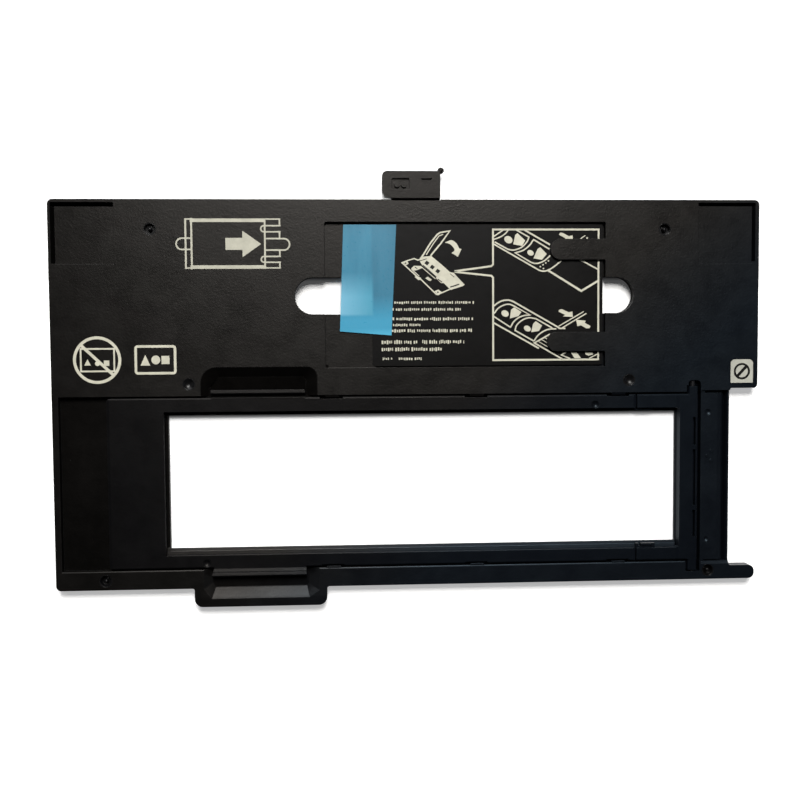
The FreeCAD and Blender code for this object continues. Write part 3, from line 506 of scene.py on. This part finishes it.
# small picture of an open holder
pr = Print("print_open_holder", M_INK, ZS, S, "sheet")
pr.fill([(4.2, 57.4), (5.4, 59.3), (9.2, 59.6), (14.5, 55.2), (17.3, 52.6), (19.0, 52.3), (20.8, 50.2), (23.7, 47.2), (23.0, 46.6),
         (17.6, 44.9), (16.9, 45.6), (14.6, 47.9), (13.4, 47.9), (11.5, 49.7), (10.9, 50.8), (5.2, 55.7)])
pr.stroke([(17.2, 45.2), (13.0, 43.4), (12.2, 42.9), (11.4, 43.0), (6.2, 48.0), (4.8, 49.4), (2.8, 50.9), (-3.5, 56.7), (-1.2, 57.6),
           (1.8, 58.5), (3.4, 57.8), (5.0, 58.4)], 0.62)
pr.fill([(-3.1, 56.9), (-1.3, 57.6), (-0.6, 56.3), (-1.8, 55.6)])
pr.fill([(0.4, 54.2), (1.7, 55.4), (4.8, 55.3), (5.2, 54.4), (3.2, 53.6), (1.9, 53.3), (1.2, 53.5)])
pr.fill([(1.9, 50.6), (2.6, 51.1), (4.6, 50.2), (4.9, 49.6), (3.6, 49.2)])
pr.fill([(6.6, 50.0), (7.6, 50.7), (9.4, 49.4), (8.8, 48.8), (8.0, 49.0)])
pr.fill([(10.5, 44.4), (12.2, 45.1), (14.0, 43.8), (12.0, 42.8)])
pr.stroke([(0.6, 53.9), (3.9, 50.9)], 0.4)
pr.stroke([(4.9, 54.9), (11.0, 49.7)], 0.4)
pr.stroke([(4.4, 58.3), (5.8, 60.2), (8.9, 65.2), (11.9, 68.9), (13.2, 69.7), (17.3, 70.4), (13.4, 65.0), (8.9, 59.7)], 0.82)
pr.stroke([(7.0, 60.1), (9.9, 64.6), (12.6, 68.2), (14.4, 68.9)], 0.5)
pr.fill(smooth([(15.3, 65.5), (18.0, 66.4), (20.2, 65.0), (21.4, 62.8)], 5) + [(22.4, 62.6), (20.8, 59.2), (18.1, 60.9)]
        + smooth([(19.3, 61.8), (19.2, 62.7), (18.0, 64.2), (16.6, 65.0), (15.3, 65.2)], 5))
pr.done()

# the open holder's dark parts, over its pale ones
pr = Print("print_holder_detail", M_GAP, ZS + 0.05, S, "sheet", thick=0.012, pen=1.0)
pr.stroke([(17.4, 46.15), (21.4, 47.4)], 0.5)
pr.stroke([(4.4, 57.5), (7.2, 58.4)], 0.32)
pr.stroke([(5.6, 55.7), (11.4, 50.5)], 0.34)
pr.stroke([(12.0, 49.6), (13.8, 48.3)], 0.42)
pr.stroke([(2.0, 54.9), (3.1, 54.1)], 0.36)
pr.stroke([(17.3, 52.0), (19.2, 50.4)], 0.26)
pr.disc((-2.0, 56.5), 0.34, 12)
pr.disc((12.0, 43.95), 0.36, 12)
for t in (0.0, 1.0, 2.0):
    cx, cy = 7.3 + 2.35 * t, 56.7 - 1.75 * t
    pr.fill([(cx - 1.15, cy - 0.25), (cx + 0.1, cy - 1.2), (cx + 1.15, cy - 0.05), (cx - 0.15, cy + 0.95)])
pr.done()

# rows of plain bars where the sheet carries its instructions
pr = Print("print_plain_rows", M_INK, ZS, S, "sheet")
rows = ((39.5, 1.55, -12.8, 28.2, ()), (36.5, 1.6, -12.8, 22.5, ()), (32.4, 1.75, -12.8, 27.6, ()), (29.8, 1.5, -12.8, 4.6, ()),
        (27.3, 1.8, -12.8, 27.0, ()), (22.4, 2.15, -12.6, 23.4, (2.6,)), (19.3, 2.15, -12.6, 13.8, ()), (15.2, 1.5, -12.2, 5.0, (-7.9,)))
for y, h, x0, x1, gaps in rows:
    x = x0
    left = random.randint(3, 7)
    while x < x1 - 0.3:
        w = min(random.uniform(0.32, 0.78), x1 - x)
        lo = y - h / 2 * random.uniform(0.42, 0.86)
        hi = y + h / 2 * random.uniform(0.42, 0.86)
        if not any(g0 <= x + w / 2 <= g0 + 2.0 for g0 in gaps):
            pr.fill([(x, lo), (x + w, lo), (x + w, hi), (x, hi)])
        left -= 1
        x += w + (0.34 if left > 0 else 0.95)
        if left <= 0:
            left = random.randint(3, 8)
pr.done()

# a plain slashed ring on the small label
pr = Print("print_label_ring", M_LABEL_INK, 5.845, P, "base", thick=0.02, pen=1.0)
pr.stroke(arc(147.25, 8.6, 3.2, 0, 360 - 360 / 48, 47), 0.95, closed=True)
pr.stroke([(145.1, 6.3), (149.4, 10.9)], 1.3)
pr.done()

# ------------------------------------------------------------------ floor, light, camera
fm, fnt, fb = new_mat("floor_paper")
fg = G(fnt)
fco = fg.node("ShaderNodeTexCoord").outputs["Object"]
fn = fg.noise(fco, 60.0, 4.0, 0.5)
fg.link(fg.mix(fg.maprange(fn, 0.3, 0.7, 0.0, 1.0), (0.93, 0.93, 0.93, 1), (0.95, 0.95, 0.95, 1)), fb.inputs["Base Color"])
fb.inputs["Roughness"].default_value = 0.8
fb.inputs["Emission Color"].default_value = (1.0, 1.0, 1.0, 1)
fxyz = fg.node("ShaderNodeSeparateXYZ")
fg.link(fco, fxyz.inputs[0])
# painted light: the floor glows strongly, but only faintly under the push-out slot and along the window's far edge, so
# that the cast shadows there stay grey
mx = fg.maprange(fg.math("ABSOLUTE", fxyz.outputs["X"]), 0.124, 0.130, 0.0, 1.0)
my = fg.maprange(fg.math("ABSOLUTE", fg.math("SUBTRACT", fxyz.outputs["Y"], 0.024)), 0.0361, 0.0376, 0.0, 1.0)
# painted shadow: the glow drops to a tenth in a strip at the foot of the push-out slot's far wall
painted_slot_shadow = fg.math("MAXIMUM", fg.maprange(fxyz.outputs["Y"], 0.0464, 0.0479, 1.0, 0.1), fg.maprange(fxyz.outputs["Y"], 0.055, 0.060, 0.0, 1.0))
fg.link(fg.math("MULTIPLY", fg.maprange(fg.math("MAXIMUM", mx, my), 0.0, 1.0, 0.056, 0.42), painted_slot_shadow), fb.inputs["Emission Strength"])
bpy.ops.mesh.primitive_plane_add(size=8.0, location=(0, 0, -0.00005))
floor = bpy.context.object
floor.name = "floor"
floor.data.materials.append(fm)

world = bpy.data.worlds.new("studio")
scene.world = world
world.use_nodes = True
world.node_tree.nodes["Background"].inputs[0].default_value = (0.95, 0.97, 1.0, 1)
world.node_tree.nodes["Background"].inputs[1].default_value = 0.014


def area(name, loc, target, size, energy, colour=(1, 1, 1), size_y=None):
    l = bpy.data.lights.new(name, "AREA")
    l.shape = "RECTANGLE"
    l.size = size
    l.size_y = size_y or size
    l.energy = energy
    l.color = colour
    o = bpy.data.objects.new(name, l)
    scene.collection.objects.link(o)
    o.location = loc
    d = Vector(target) - Vector(loc)
    o.rotation_euler = d.to_track_quat("-Z", "Y").to_euler()
    return o


area("key_far", (0.0, 0.72, 1.06), (0, 0.02, 0), 0.5, 23.5, (1.0, 0.985, 0.96), 0.5)
area("rim_far", (-0.5, 1.35, 0.45), (0, 0, 0), 1.4, 8.0, (0.98, 0.99, 1.0), 0.5)
area("fill_left", (-1.35, -0.2, 0.5), (0, 0, 0), 1.2, 0.7, (0.96, 0.98, 1.0), 0.5)
area("fill_right", (1.35, -0.35, 0.5), (0, 0, 0), 1.2, 0.7, (0.84, 0.92, 1.0), 0.5)
area("fill_near", (0.2, -1.35, 0.45), (0, 0, 0), 1.2, 0.3, (0.86, 0.93, 1.0), 0.5)

cam = bpy.data.cameras.new("camera")
cam_o = bpy.data.objects.new("camera", cam)
scene.collection.objects.link(cam_o)
scene.camera = cam_o
cam.sensor_width = 36.0
cam.lens = 42.322
R = ((0.9986107, 0.0092650, -0.0518732), (-0.0067453, 0.9987984, 0.0485412), (0.0522606, -0.0481238, 0.9974733))
cam_o.matrix_world = Matrix.Translation((-0.0261993, 0.0143952, 0.4149413)) @ Matrix(R).to_4x4()
cam.clip_start = 0.01

scene.view_settings.view_transform = "Standard"
scene.view_settings.look = "None"
scene.view_settings.exposure = 0.0
